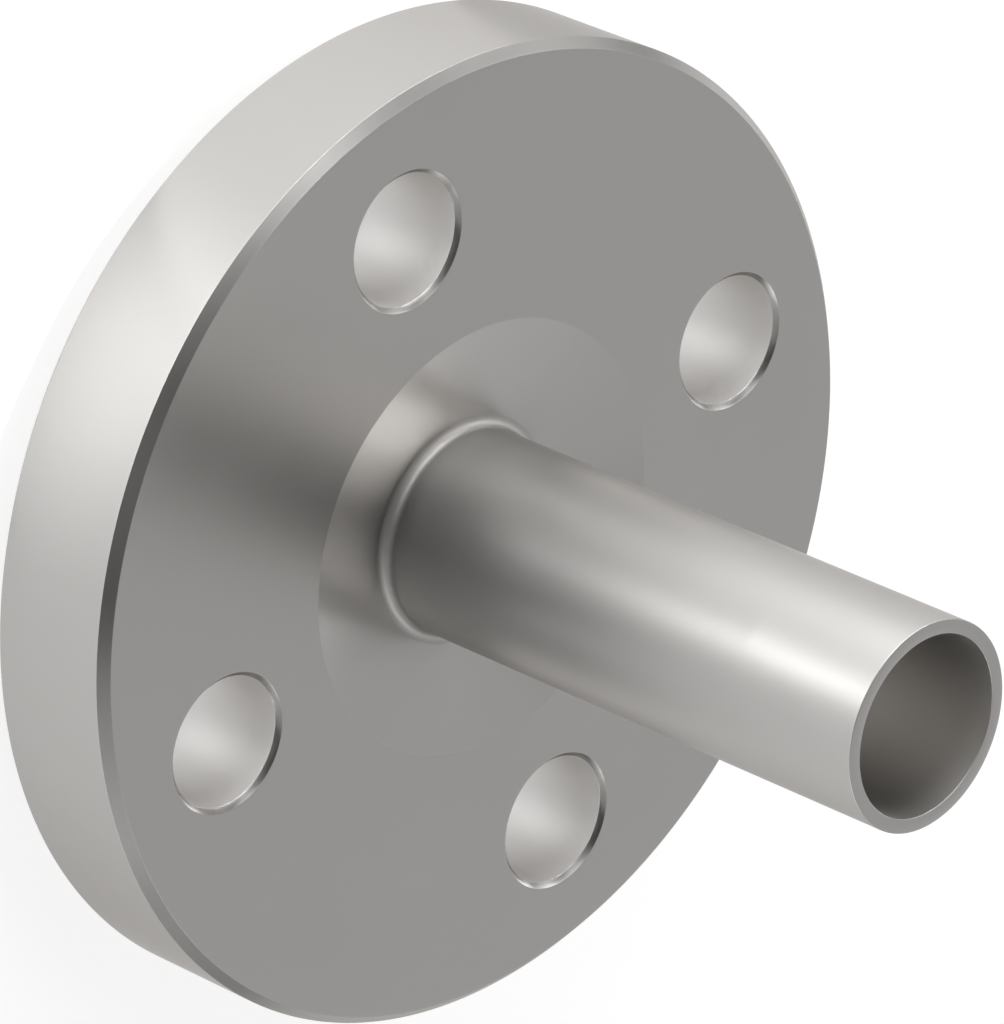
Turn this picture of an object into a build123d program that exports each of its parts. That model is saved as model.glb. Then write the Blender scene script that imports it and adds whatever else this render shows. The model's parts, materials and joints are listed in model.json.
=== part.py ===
# Pipe flange with a plain tube end, one piece of stainless steel, in millimetres.
# The origin is the centre of the raised sealing face, and +Z runs along the tube to its open end.
# It stands on the sealing face, so the plate's back face, with its dished recess, looks up.
import os
from math import radians, tan

from build123d import *

# Plate
plate_diameter = 105.0
plate_thickness = 16.0
rim_chamfer = 1.0

# Raised sealing face, under the plate
sealing_face_diameter = 58.0
sealing_face_height = 2.0
sealing_face_chamfer = 0.5

# Bolt holes, half way between the X and Y axes
bolt_circle_diameter = 75.0
bolt_hole_diameter = 14.0
bolt_hole_count = 4
bolt_hole_chamfer = 0.5

# Tube, with a straight bore through the plate
tube_diameter = 22.0
tube_wall = 1.5
tube_reach = 60.8  # from the plate's back face to the open end
bore_mouth_chamfer = 0.5

# Dished recess in the back face, which slopes down to the tube's root
recess_diameter = 46.7
recess_slope = 15.0  # degrees below the back face
root_fillet = 1.0

# Radii and heights that follow from the sizes above
plate_radius = plate_diameter / 2
sealing_face_radius = sealing_face_diameter / 2
tube_radius = tube_diameter / 2
bore_radius = tube_radius - tube_wall
recess_radius = recess_diameter / 2
back_face_z = sealing_face_height + plate_thickness
tube_end_z = back_face_z + tube_reach
root_z = back_face_z - (recess_radius - tube_radius) * tan(radians(recess_slope))
countersink_radius = bolt_hole_diameter / 2 + bolt_hole_chamfer
first_bolt_angle = 180 / bolt_hole_count

with BuildPart() as flange:
    # The turned form: half of its section, revolved about the tube's axis
    with BuildSketch(Plane.XZ) as section:
        with BuildLine():
            Polyline(
                (bore_radius + bore_mouth_chamfer, 0),
                (sealing_face_radius - sealing_face_chamfer, 0),
                (sealing_face_radius, sealing_face_chamfer),
                (sealing_face_radius, sealing_face_height),
                (plate_radius - rim_chamfer, sealing_face_height),
                (plate_radius, sealing_face_height + rim_chamfer),
                (plate_radius, back_face_z - rim_chamfer),
                (plate_radius - rim_chamfer, back_face_z),
                (recess_radius, back_face_z),
                (tube_radius, root_z),
                (tube_radius, tube_end_z),
                (bore_radius, tube_end_z),
                (bore_radius, bore_mouth_chamfer),
                close=True,
            )
        make_face()
        root_corner = section.vertices().sort_by_distance((tube_radius, root_z))[0]
        fillet(root_corner, root_fillet)
    revolve(axis=Axis.Z)

    # The bolt holes, drilled from the back face, with their edges broken on both sides of the plate
    back_face = Plane.XY.offset(back_face_z)
    front_face = Plane.XY.offset(sealing_face_height).rotated((180, 0, 0))
    for face in (back_face, front_face):
        with Locations(face):
            with PolarLocations(bolt_circle_diameter / 2, bolt_hole_count, first_bolt_angle):
                CounterSinkHole(
                    bolt_hole_diameter / 2,
                    countersink_radius,
                    depth=plate_thickness,
                    counter_sink_angle=90,
                )

flange.part.label = "flange"
os.makedirs("parts", exist_ok=True)
export_step(flange.part, "parts/flange.step")
print("flange volume", round(flange.part.volume), "mm3")
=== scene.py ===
import json
from math import atan2, cos, pi, radians, sin, tan

import bmesh
import bpy
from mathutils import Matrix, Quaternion, Vector


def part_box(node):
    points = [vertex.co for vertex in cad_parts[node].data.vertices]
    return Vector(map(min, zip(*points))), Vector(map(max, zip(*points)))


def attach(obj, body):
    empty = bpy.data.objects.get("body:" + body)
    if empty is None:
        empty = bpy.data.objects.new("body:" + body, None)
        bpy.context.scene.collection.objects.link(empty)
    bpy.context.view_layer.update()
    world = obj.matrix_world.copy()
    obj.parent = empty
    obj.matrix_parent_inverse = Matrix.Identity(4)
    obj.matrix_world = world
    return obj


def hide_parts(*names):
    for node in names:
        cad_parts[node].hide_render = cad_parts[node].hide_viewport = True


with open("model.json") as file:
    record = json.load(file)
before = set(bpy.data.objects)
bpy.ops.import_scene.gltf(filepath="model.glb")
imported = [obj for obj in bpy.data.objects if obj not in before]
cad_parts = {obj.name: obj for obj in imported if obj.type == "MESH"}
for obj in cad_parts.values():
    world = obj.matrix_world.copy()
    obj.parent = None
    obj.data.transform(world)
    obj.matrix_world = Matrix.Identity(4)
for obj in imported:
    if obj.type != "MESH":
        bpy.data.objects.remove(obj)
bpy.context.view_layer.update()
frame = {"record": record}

mounts = {mount["name"]: mount for mount in frame["record"]["mounts"]}
bodyName = "root"
nodeName = "flange"


# Camera, at the photograph's place. Its azimuth is counted anticlockwise from +X, seen from above.

cameraPlace = {
    "azimuth": -94.775,
    "elevation": 39.805,
    "roll": 112.884,  # the photograph shows the tube lying down
    "distance": 0.8864,
    "aim": (-0.003156, 0.000264, 0.018856),
    "lens": 307.2475,
    "sensor": 36.0,
    "nearClip": 0.01,
}


def directionFrom(azimuth, elevation):
    flat = cos(radians(elevation))
    return Vector((flat * cos(radians(azimuth)), flat * sin(radians(azimuth)), sin(radians(elevation))))


def makeCamera():
    place = cameraPlace
    data = bpy.data.cameras.new("camera")
    data.lens = place["lens"]
    data.sensor_width = place["sensor"]
    data.clip_start = place["nearClip"]
    camera = bpy.data.objects.new("camera", data)
    bpy.context.scene.collection.objects.link(camera)
    back = directionFrom(place["azimuth"], place["elevation"])
    level = (-back).to_track_quat("-Z", "Y")
    camera.rotation_mode = "QUATERNION"
    camera.rotation_quaternion = level @ Quaternion((0, 0, 1), radians(place["roll"]))
    camera.location = Vector(place["aim"]) + back * place["distance"]
    bpy.context.scene.camera = camera


makeCamera()
print("camera made")


# Shader node groups that the materials share

steelWear = {
    "noiseMiddle": 0.5,
    "markDetail": 3.0,
    "markRoughness": 0.05,  # how much the marks change the roughness
    "markDepth": 0.0000006,
    "cloudsPerMetre": 60.0,
    "cloudDetail": 4.0,
    "cloudRoughness": 0.05,
    "cloudShade": 0.04,  # how much the clouds change the colour
    "grainsPerMetre": 1500.0,
    "grainDetail": 2.0,
    "grainDepth": 0.0000004,
}


def newGroup(name, inputs, outputs):
    group = bpy.data.node_groups.new(name, "ShaderNodeTree")
    for label, kind in inputs:
        group.interface.new_socket(name=label, in_out="INPUT", socket_type=kind)
    for label, kind in outputs:
        group.interface.new_socket(name=label, in_out="OUTPUT", socket_type=kind)
    return group, group.nodes.new("NodeGroupInput"), group.nodes.new("NodeGroupOutput")


def addMath(tree, operation, *values):
    node = tree.nodes.new("ShaderNodeMath")
    node.operation = operation
    for socket, value in zip(node.inputs, values):
        if isinstance(value, bpy.types.NodeSocket):
            tree.links.new(value, socket)
        else:
            socket.default_value = value
    return node.outputs[0]


def addNoise(tree, vector, scale, detail, dimensions="3D"):
    node = tree.nodes.new("ShaderNodeTexNoise")
    node.noise_dimensions = dimensions
    node.inputs["Detail"].default_value = detail
    tree.links.new(scale, node.inputs["Scale"])
    tree.links.new(vector, node.inputs["W" if dimensions == "1D" else "Vector"])
    return node.outputs["Fac"]


# Turning marks: fine rings about the tube's axis, across the flat faces and along the round ones
def makeTurningMarks():
    inputs = [("Place", "NodeSocketVector"), ("Facing", "NodeSocketVector"),
              ("Marks per metre", "NodeSocketFloat")]
    outputs = [("Marks", "NodeSocketFloat")]
    group, given, made = newGroup("turningMarks", inputs, outputs)
    place = group.nodes.new("ShaderNodeSeparateXYZ")
    facing = group.nodes.new("ShaderNodeSeparateXYZ")
    group.links.new(given.outputs["Place"], place.inputs[0])
    group.links.new(given.outputs["Facing"], facing.inputs[0])
    radius = addMath(group, "SQRT", addMath(group, "ADD", addMath(group, "POWER", place.outputs["X"], 2.0),
                                            addMath(group, "POWER", place.outputs["Y"], 2.0)))
    scale = given.outputs["Marks per metre"]
    across = addNoise(group, radius, scale, steelWear["markDetail"], "1D")
    along = addNoise(group, place.outputs["Z"], scale, steelWear["markDetail"], "1D")
    flatness = addMath(group, "ABSOLUTE", facing.outputs["Z"])
    mix = group.nodes.new("ShaderNodeMix")
    group.links.new(flatness, mix.inputs["Factor"])
    group.links.new(along, mix.inputs["A"])
    group.links.new(across, mix.inputs["B"])
    centred = addMath(group, "SUBTRACT", mix.outputs["Result"], steelWear["noiseMiddle"])
    group.links.new(centred, made.inputs["Marks"])
    return group


# Handling marks: broad, faint clouds where the metal is a little duller, and a fine grain
def makeHandlingMarks():
    inputs = [("Place", "NodeSocketVector"), ("Clouds per metre", "NodeSocketFloat"),
              ("Grains per metre", "NodeSocketFloat")]
    outputs = [("Clouds", "NodeSocketFloat"), ("Grain", "NodeSocketFloat")]
    group, given, made = newGroup("handlingMarks", inputs, outputs)
    place = given.outputs["Place"]
    clouds = addNoise(group, place, given.outputs["Clouds per metre"], steelWear["cloudDetail"])
    grain = addNoise(group, place, given.outputs["Grains per metre"], steelWear["grainDetail"])
    group.links.new(addMath(group, "SUBTRACT", clouds, steelWear["noiseMiddle"]), made.inputs["Clouds"])
    group.links.new(addMath(group, "SUBTRACT", grain, steelWear["noiseMiddle"]), made.inputs["Grain"])
    return group


turningMarks = makeTurningMarks()
handlingMarks = makeHandlingMarks()

steelFinishes = {
    "satinSteel": {  # turned faces
        "colour": (0.470, 0.460, 0.448),
        "edgeTint": (0.66, 0.645, 0.63, 1.0),  # it stays dull where it is seen edge on
        "roughness": 0.30,
        "marksPerMetre": 2500.0,
    },
    "rubbedSteel": {  # outside of the tube, duller from handling
        "colour": (0.460, 0.450, 0.438),
        "edgeTint": (0.66, 0.645, 0.63, 1.0),
        "roughness": 0.42,
        "marksPerMetre": 2500.0,
    },
    "rootSteel": {  # fillet at the root of the tube, dullest of all
        "colour": (0.460, 0.450, 0.438),
        "edgeTint": (0.66, 0.645, 0.63, 1.0),
        "roughness": 0.50,
        "marksPerMetre": 2500.0,
    },
    "drilledSteelPaintedBright": {  # walls of the bolt holes, drilled and rougher; colour and edge tint are painted light, brighter to stand in for light coming up through the holes
        "colour": (0.765, 0.753, 0.740),
        "edgeTint": (1.0, 0.98, 0.96, 1.0),
        "roughness": 0.50,
        "marksPerMetre": 2500.0,
    },
    "drawnSteelPaintedBright": {  # the tube's bore, as drawn; colour and edge tint are painted light, brighter to stand in for light reaching down the deep bore
        "colour": (0.735, 0.72, 0.70),
        "edgeTint": (0.90, 0.88, 0.86, 1.0),
        "roughness": 0.40,
        "marksPerMetre": 800.0,
    },
}

def makeSteel(name, finish):
    wear = steelWear
    material = bpy.data.materials.new(name)
    material.use_nodes = True
    tree = material.node_tree
    shader = tree.nodes["Principled BSDF"]
    shader.inputs["Metallic"].default_value = 1.0
    shader.inputs["Specular Tint"].default_value = finish["edgeTint"]
    coordinates = tree.nodes.new("ShaderNodeTexCoord")
    marks = tree.nodes.new("ShaderNodeGroup")
    marks.node_tree = turningMarks
    marks.inputs["Marks per metre"].default_value = finish["marksPerMetre"]
    clouds = tree.nodes.new("ShaderNodeGroup")
    clouds.node_tree = handlingMarks
    clouds.inputs["Clouds per metre"].default_value = wear["cloudsPerMetre"]
    clouds.inputs["Grains per metre"].default_value = wear["grainsPerMetre"]
    tree.links.new(coordinates.outputs["Object"], marks.inputs["Place"])
    tree.links.new(coordinates.outputs["Normal"], marks.inputs["Facing"])
    tree.links.new(coordinates.outputs["Object"], clouds.inputs["Place"])

    shade = addMath(tree, "MULTIPLY_ADD", clouds.outputs["Clouds"], wear["cloudShade"], 1.0)
    colour = tree.nodes.new("ShaderNodeVectorMath")
    colour.operation = "SCALE"
    colour.inputs[0].default_value = finish["colour"]
    tree.links.new(shade, colour.inputs["Scale"])
    tree.links.new(colour.outputs[0], shader.inputs["Base Color"])

    rough = addMath(tree, "MULTIPLY_ADD", marks.outputs["Marks"], wear["markRoughness"], finish["roughness"])
    rough = addMath(tree, "MULTIPLY_ADD", clouds.outputs["Clouds"], wear["cloudRoughness"], rough)
    tree.links.new(rough, shader.inputs["Roughness"])

    height = addMath(tree, "MULTIPLY", clouds.outputs["Grain"], wear["grainDepth"])
    height = addMath(tree, "MULTIPLY_ADD", marks.outputs["Marks"], wear["markDepth"], height)
    bump = tree.nodes.new("ShaderNodeBump")
    bump.inputs["Distance"].default_value = 1.0  # the depths are in metres
    tree.links.new(height, bump.inputs["Height"])
    tree.links.new(bump.outputs["Normal"], shader.inputs["Normal"])
    return material


steels = [makeSteel(name, finish) for name, finish in steelFinishes.items()]
satinSteel, rubbedSteel, rootSteel, drilledSteelPaintedBright, drawnSteelPaintedBright = range(len(steels))  # their material slots
print("materials made")


# The flange: its half section is a chain of points, with rounded corners, that is spun about the tube's axis

flange = {
    "plateThickness": 0.016,
    "rimChamfer": 0.001,
    "faceRadius": 0.029,  # raised sealing face, underneath
    "faceHeight": 0.002,
    "faceChamfer": 0.0005,
    "mouthChamfer": 0.0005,
    "recessRadius": 0.02335,
    "recessSlope": 15.0,
    "rootFillet": 0.001,
    "holeChamfer": 0.0005,
    "edgeRound": 0.00004,  # every turned edge is broken a little
    "recessRound": 0.0004,
    "endRound": 0.00006,  # at the tube's cut end
    "flatMargin": 0.0003,  # how far a turned strip runs on to a flat face
    "grooveStart": 0.0125,  # fine grooves turned into the sealing face
    "groovePitch": 0.0008,
    "grooveDepth": 0.00005,
    "grooveCount": 20,
    "stepsRound": 288,
    "stepsHole": 96,
    "stepsFillet": 12,
    "stepsEdge": 3,
    "sameHeight": 0.000001,  # how near two points of one flat face lie in height
    "samePoint": 0.0000001,
    "sharpAngle": 40.0,
}


def chainOf(bm, points):
    verts = [bm.verts.new((radius, 0, height)) for radius, height in points]
    for pair in zip(verts, verts[1:]):
        bm.edges.new(pair)
    return verts


# A profile of one half is a round arc
def roundCorner(bm, vert, setback, steps):
    bmesh.ops.bevel(bm, geom=[vert], offset=setback, offset_type="OFFSET", affect="VERTICES",
                    segments=steps, profile=0.5, material=-1)


def setbackOf(radius, corner):
    return radius / tan(radians(corner) / 2)  # from a corner of that many degrees to where its arc starts


def makeFlange():
    sizes = flange
    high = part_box(nodeName)[1]
    plateRadius = high.x
    tubeTop = high.z
    tubeRadius = mounts["tube_end"]["dims"]["r_mm"] / 1000
    boreRadius = mounts["tube_bore"]["dims"]["r_mm"] / 1000
    holes = mounts["bolt_circle"]["dims"]
    backHeight = sizes["faceHeight"] + sizes["plateThickness"]
    slope = tan(radians(sizes["recessSlope"]))
    rootHeight = backHeight - (sizes["recessRadius"] - tubeRadius) * slope
    chamfer = sizes["rimChamfer"]
    edge = sizes["edgeRound"]
    margin = sizes["flatMargin"]

    # The inner chain goes from the recess up the tube, down its bore and across the sealing face,
    # and the outer one round the plate's rim
    bm = bmesh.new()
    grooves = []
    for groove in range(sizes["grooveCount"]):
        start = sizes["grooveStart"] + groove * sizes["groovePitch"]
        grooves.append((start, 0))
        grooves.append((start + sizes["groovePitch"] / 2, sizes["grooveDepth"]))
    grooves.append((sizes["grooveStart"] + sizes["grooveCount"] * sizes["groovePitch"], 0))
    inner = chainOf(bm, [
        (sizes["recessRadius"] + margin, backHeight),
        (sizes["recessRadius"], backHeight),
        (tubeRadius, rootHeight),
        (tubeRadius, tubeTop),
        (boreRadius, tubeTop),
        (boreRadius, sizes["mouthChamfer"]),
        (boreRadius + sizes["mouthChamfer"], 0),
        *grooves,
        (sizes["faceRadius"] - sizes["faceChamfer"], 0),
        (sizes["faceRadius"], sizes["faceChamfer"]),
        (sizes["faceRadius"], sizes["faceHeight"]),
    ])
    outer = chainOf(bm, [
        (plateRadius - chamfer - margin, sizes["faceHeight"]),
        (plateRadius - chamfer, sizes["faceHeight"]),
        (plateRadius, sizes["faceHeight"] + chamfer),
        (plateRadius, backHeight - chamfer),
        (plateRadius - chamfer, backHeight),
        (plateRadius - chamfer - margin, backHeight),
    ])
    recessEdge, root, tubeOuter, tubeInner, boreEdge, mouthEdge = inner[1:7]
    faceEdge, faceCorner = inner[-3:-1]
    rootReach = setbackOf(sizes["rootFillet"], 90 - sizes["recessSlope"])
    recessReach = setbackOf(sizes["recessRound"], 180 - sizes["recessSlope"])
    edgeReach = setbackOf(edge, 135)  # a chamfer's corners measure 135 degrees
    roundCorner(bm, root, rootReach, sizes["stepsFillet"])
    roundCorner(bm, tubeOuter, sizes["endRound"], sizes["stepsEdge"])
    roundCorner(bm, tubeInner, sizes["endRound"], sizes["stepsEdge"])
    roundCorner(bm, recessEdge, recessReach, sizes["stepsEdge"])
    for corner in (boreEdge, mouthEdge, faceEdge, faceCorner, *outer[1:-1]):
        roundCorner(bm, corner, edgeReach, sizes["stepsEdge"])
    bmesh.ops.spin(bm, geom=bm.verts[:] + bm.edges[:], cent=(0, 0, 0), axis=(0, 0, 1), angle=2 * pi,
                   steps=sizes["stepsRound"], use_merge=True)

    # Bolt holes: the wall and its two chamfers, spun about each hole's own axis
    holeRadius = holes["hole_r_mm"] / 1000
    circleRadius = holes["pcd_mm"] / 2000
    lip = sizes["holeChamfer"]
    for hole in range(holes["count"]):
        turn = 2 * pi * (hole + 0.5) / holes["count"]
        centre = Vector((circleRadius * cos(turn), circleRadius * sin(turn), 0))
        before = set(bm.verts)
        wall = chainOf(bm, [
            (holeRadius + lip + margin, sizes["faceHeight"]),
            (holeRadius + lip, sizes["faceHeight"]),
            (holeRadius, sizes["faceHeight"] + lip),
            (holeRadius, backHeight - lip),
            (holeRadius + lip, backHeight),
            (holeRadius + lip + margin, backHeight),
        ])
        bmesh.ops.translate(bm, verts=wall, vec=centre)
        for corner in wall[1:-1]:
            roundCorner(bm, corner, edgeReach, sizes["stepsEdge"])
        fresh = [vert for vert in bm.verts if vert not in before]
        freshEdges = list({line for vert in fresh for line in vert.link_edges})
        bmesh.ops.spin(bm, geom=fresh + freshEdges, cent=centre, axis=(0, 0, 1), angle=2 * pi,
                       steps=sizes["stepsHole"], use_merge=True)

    # The plate's two flat faces, filled between its rim, the holes and the recess or sealing face
    for height in (backHeight, sizes["faceHeight"]):
        borders = [line for line in bm.edges if line.is_boundary
                   and all(abs(vert.co.z - height) < sizes["sameHeight"] for vert in line.verts)]
        bmesh.ops.triangle_fill(bm, use_beauty=True, edges=borders)
    bmesh.ops.remove_doubles(bm, verts=bm.verts[:], dist=sizes["samePoint"])
    bmesh.ops.recalc_face_normals(bm, faces=bm.faces[:])

    # The finish of each face: satin all over, but for the tube, its root, its bore and the bolt holes' walls.
    # The bore and the holes' walls get steel with a brighter painted colour, painted light for the light that
    # reaches into them
    rootTop = rootHeight + rootReach
    wallTop = tubeTop - sizes["endRound"]
    nearWall = edge / 4  # how far past a wall the middle of one of its faces may lie
    holeCentre = circleRadius * cos(pi / holes["count"])
    for face in bm.faces:
        middle = face.calc_center_median()
        radius = middle.xy.length
        if Vector((abs(middle.x) - holeCentre, abs(middle.y) - holeCentre)).length < holeRadius + nearWall:
            # painted light: the hole walls take the steel whose colour is painted brighter
            face.material_index = drilledSteelPaintedBright
        elif radius < boreRadius + nearWall and middle.z < wallTop:
            # painted light: the bore takes the steel whose colour is painted brighter
            face.material_index = drawnSteelPaintedBright
        elif tubeRadius - edge < radius < tubeRadius + rootReach and rootHeight < middle.z < wallTop:
            face.material_index = rootSteel if middle.z < rootTop else rubbedSteel

    mesh = bpy.data.meshes.new("flangeBody")
    bm.to_mesh(mesh)
    openEdges = sum(1 for line in bm.edges if not line.is_manifold)
    volume = round(bm.calc_volume() * 1e6, 3)
    print("flange faces", len(bm.faces), "open edges", openEdges, "volume cm3", volume)
    bm.free()
    mesh.shade_smooth()
    mesh.set_sharp_from_angle(angle=radians(sizes["sharpAngle"]))
    piece = bpy.data.objects.new("flangeBody", mesh)
    bpy.context.scene.collection.objects.link(piece)
    weighted = piece.modifiers.new("faceNormals", "WEIGHTED_NORMAL")
    weighted.keep_sharp = True
    for steel in steels:
        mesh.materials.append(steel)
    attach(piece, bodyName)
    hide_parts(nodeName)


makeFlange()
print("flange made")


# Floor: a grey card that takes shadows, and looks white by a glow that camera, mirror and glass rays see

floorCard = {"halfSize": 3.0, "colour": (0.35, 0.35, 0.35, 1.0), "glow": 0.75}


def makeFloor():
    card = floorCard
    bm = bmesh.new()
    bmesh.ops.create_grid(bm, x_segments=1, y_segments=1, size=card["halfSize"])
    mesh = bpy.data.meshes.new("floor")
    bm.to_mesh(mesh)
    bm.free()
    floor = bpy.data.objects.new("floor", mesh)
    bpy.context.scene.collection.objects.link(floor)
    material = bpy.data.materials.new("floorCard")
    material.use_nodes = True
    tree = material.node_tree
    tree.nodes.clear()
    output = tree.nodes.new("ShaderNodeOutputMaterial")
    diffuse = tree.nodes.new("ShaderNodeBsdfDiffuse")
    diffuse.inputs["Color"].default_value = card["colour"]
    glow = tree.nodes.new("ShaderNodeEmission")
    rays = tree.nodes.new("ShaderNodeLightPath")
    seen = addMath(tree, "MAXIMUM", rays.outputs["Is Camera Ray"], rays.outputs["Is Glossy Ray"])
    seen = addMath(tree, "MAXIMUM", seen, rays.outputs["Is Transmission Ray"])
    both = tree.nodes.new("ShaderNodeAddShader")
    tree.links.new(addMath(tree, "MULTIPLY", seen, card["glow"]), glow.inputs["Strength"])
    tree.links.new(diffuse.outputs[0], both.inputs[0])
    tree.links.new(glow.outputs[0], both.inputs[1])
    tree.links.new(both.outputs[0], output.inputs["Surface"])
    mesh.materials.append(material)


makeFloor()


# World and lamps. An azimuth here is counted from the camera's, and a white card has a brightness of 1.

studio = {
    "worldGrey": 0.0,
    "reach": 1.2,  # how far the soft boxes and walls stand from the flange
    "spotReach": 0.6,
    "spotSoftness": 0.01,
    "discHeight": 0.0005,
}

softBoxes = {  # round, at the studio's reach, with their half angle as the object sees them
    "backLow": {"azimuth": 180, "elevation": 8, "spread": 10, "brightness": 1.0},
    "backHigh": {"azimuth": 180, "elevation": 40, "spread": 40, "brightness": 0.6},
    "backLeftLow": {"azimuth": -150, "elevation": 8, "spread": 10, "brightness": 3.9},
    "backLeftMid": {"azimuth": -120, "elevation": 20, "spread": 14, "brightness": 0.88},
    "backLeftHigh": {"azimuth": -120, "elevation": 38, "spread": 14, "brightness": 2.3},
    "leftLow": {"azimuth": -90, "elevation": 8, "spread": 10, "brightness": 8.7},
    "leftTop": {"azimuth": -80, "elevation": 58, "spread": 18, "brightness": 1.4},
    "frontLeftMid": {"azimuth": -60, "elevation": 20, "spread": 14, "brightness": 2.3},
    "frontRightHigh": {"azimuth": 20, "elevation": 38, "spread": 14, "brightness": 0.21},
    "rightLow": {"azimuth": 90, "elevation": 8, "spread": 10, "brightness": 3.1},
    "rightHigh": {"azimuth": 90, "elevation": 45, "spread": 25, "brightness": 0.45},
    "backRightMid": {"azimuth": 120, "elevation": 20, "spread": 14, "brightness": 0.39},
    "backRightHigh": {"azimuth": 120, "elevation": 38, "spread": 14, "brightness": 1.8},
}

softWalls = {  # wide and low, at the same reach, with their half angles across and upwards
    "frontLeftLowWall": {"azimuth": -60, "elevation": 9, "across": 28, "upwards": 8, "brightness": 4.8},
    "frontLowWall": {"azimuth": -30, "elevation": 9, "across": 28, "upwards": 8, "brightness": 2.8},
    "frontMidWall": {"azimuth": -30, "elevation": 26, "across": 28, "upwards": 9, "brightness": 1.3},
    "frontRightLowWall": {"azimuth": 60, "elevation": 9, "across": 28, "upwards": 8, "brightness": 2.5},
    "backRightMidWall": {"azimuth": 150, "elevation": 26, "across": 28, "upwards": 9, "brightness": 0.2},
}

stripLamps = {  # stand on the floor near the flange and face it
    "frontStrip": {"azimuth": 0, "distance": 0.4, "middle": 0.04, "width": 0.2, "height": 0.08,
                   "brightness": 3.7},
}

floorSpots = {  # light soft pools on the floor from beside the flange, each as bright as its own number says
    "frontPool": {"azimuth": -3, "distance": 0.067, "radius": 0.021, "turn": -90, "elevation": 45,
                  "blend": 1.0, "brightness": 0.8},
}

floorDiscs = {  # lie on the floor, facing up
    "leftDisc": {"azimuth": -48, "distance": 0.12, "radius": 0.074, "brightness": 0.33},
    "frontDisc": {"azimuth": -8, "distance": 0.12, "radius": 0.025, "brightness": 7.3},
    "frontLeftDisc": {"azimuth": -60, "distance": 0.35, "radius": 0.12, "brightness": 8.6},
}

openingLamps = {  # stand for the light that comes up through the openings, which the floor closes
    "boreLight": {"opening": "bore", "azimuth": 0, "elevation": 90, "beam": 180,
                  "height": 0.018, "radius": 0.009, "brightness": 0.68},
    "holeLights": {"opening": "hole", "azimuth": 164, "elevation": 40, "beam": 60,
                   "height": 0.0045, "radius": 0.004, "brightness": 0.08},
}


def makeWorld():
    world = bpy.data.worlds.new("studio")
    world.use_nodes = True
    world.node_tree.nodes["Background"].inputs["Color"].default_value = (1, 1, 1, 1)
    world.node_tree.nodes["Background"].inputs["Strength"].default_value = studio["worldGrey"]
    bpy.context.scene.world = world


def placeLamp(name, data, location, facing):
    light = bpy.data.objects.new(name, data)
    bpy.context.scene.collection.objects.link(light)
    light.location = location
    light.rotation_mode = "QUATERNION"
    light.rotation_quaternion = facing.to_track_quat("-Z", "Y")
    light.visible_camera = False


def lampAzimuth(lamp):
    return cameraPlace["azimuth"] + lamp["azimuth"]


def discLight(name, brightness, radius):
    data = bpy.data.lights.new(name, "AREA")
    data.shape = "DISK"
    data.size = 2 * radius
    data.energy = brightness * pi * (pi * radius * radius)  # watts that a disc of that brightness gives off
    return data


def panelLight(name, brightness, width, height):
    data = bpy.data.lights.new(name, "AREA")
    data.shape = "RECTANGLE"
    data.size = width
    data.size_y = height
    data.energy = brightness * pi * (width * height)
    return data


def makeSoftBox(name, lamp):
    radius = studio["reach"] * tan(radians(lamp["spread"]))
    toward = directionFrom(lampAzimuth(lamp), lamp["elevation"])
    placeLamp(name, discLight(name, lamp["brightness"], radius), toward * studio["reach"], -toward)


def makeSoftWall(name, lamp):
    width = 2 * studio["reach"] * tan(radians(lamp["across"]))
    height = 2 * studio["reach"] * tan(radians(lamp["upwards"]))
    toward = directionFrom(lampAzimuth(lamp), lamp["elevation"])
    placeLamp(name, panelLight(name, lamp["brightness"], width, height), toward * studio["reach"], -toward)


def makeStripLamp(name, lamp):
    toward = directionFrom(lampAzimuth(lamp), 0)
    place = toward * lamp["distance"] + Vector((0, 0, lamp["middle"]))
    placeLamp(name, panelLight(name, lamp["brightness"], lamp["width"], lamp["height"]), place, -toward)


def makeSpot(name, lamp):
    reach = studio["spotReach"]
    data = bpy.data.lights.new(name, "SPOT")
    data.spot_size = 2 * atan2(lamp["radius"], reach)
    data.spot_blend = lamp["blend"]
    data.shadow_soft_size = studio["spotSoftness"]
    strength = lamp["brightness"] / floorCard["colour"][0]
    data.energy = strength * (2 * pi * reach) ** 2 / sin(radians(lamp["elevation"]))
    place = directionFrom(lampAzimuth(lamp), 0) * lamp["distance"]
    back = directionFrom(lampAzimuth(lamp) + lamp["turn"], lamp["elevation"])
    placeLamp(name, data, place + back * reach, -back)


def makeFloorDisc(name, lamp):
    place = directionFrom(lampAzimuth(lamp), 0) * lamp["distance"] + Vector((0, 0, studio["discHeight"]))
    placeLamp(name, discLight(name, lamp["brightness"], lamp["radius"]), place, Vector((0, 0, 1)))


def makeOpeningLamp(name, lamp):
    centres = [Vector((0, 0))]
    if lamp["opening"] == "hole":
        holes = mounts["bolt_circle"]["dims"]
        turns = [2 * pi * (hole + 0.5) / holes["count"] for hole in range(holes["count"])]
        centres = [Vector((cos(turn), sin(turn))) * holes["pcd_mm"] / 2000 for turn in turns]
    facing = directionFrom(lampAzimuth(lamp), lamp["elevation"])
    for centre in centres:
        data = discLight(name, lamp["brightness"], lamp["radius"])
        data.spread = radians(lamp["beam"])
        placeLamp(name, data, (*centre, lamp["height"]), facing)


makeWorld()
for lamps, makeLamp in ((softBoxes, makeSoftBox), (softWalls, makeSoftWall), (stripLamps, makeStripLamp),
                        (floorSpots, makeSpot), (floorDiscs, makeFloorDisc), (openingLamps, makeOpeningLamp)):
    for lampName, lampValues in lamps.items():
        makeLamp(lampName, lampValues)
print("studio made")

bpy.context.scene.view_settings.view_transform = "Standard"
